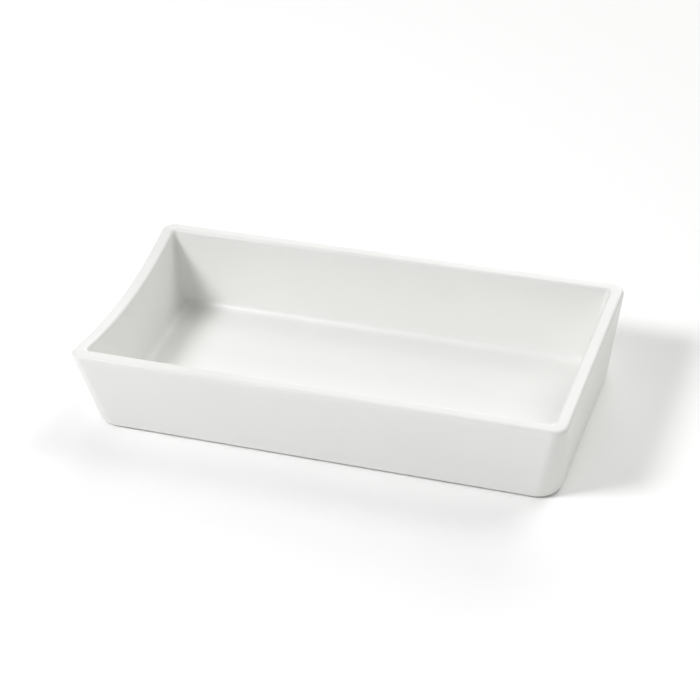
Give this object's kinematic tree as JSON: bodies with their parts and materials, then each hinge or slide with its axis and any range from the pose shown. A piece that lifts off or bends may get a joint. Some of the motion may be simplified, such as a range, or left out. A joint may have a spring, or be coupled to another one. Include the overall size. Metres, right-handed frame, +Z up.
{
  "type": "spoon rest",
  "caption": "Rectangular white porcelain spoon rest: a flared tray with rounded corners on a low foot ring, its rim dipped at the handle end to carry a spoon's handle.",
  "frame": {"origin": "on the table, under the middle of the tray's length and width", "axes": "+X along the length, away from the dipped handle end; +Y across the width; +Z up"},
  "size_m": [0.1999, 0.1, 0.0365],
  "materials": {
    "bisque": "unglazed fired porcelain, matt",
    "white_glaze": "smooth white glaze, satin gloss"
  },
  "bodies": {
    "root": {"porcelain_body": "bisque", "glaze_coat": "white_glaze", "base_glaze": "white_glaze"}
  },
  "joints": []
}
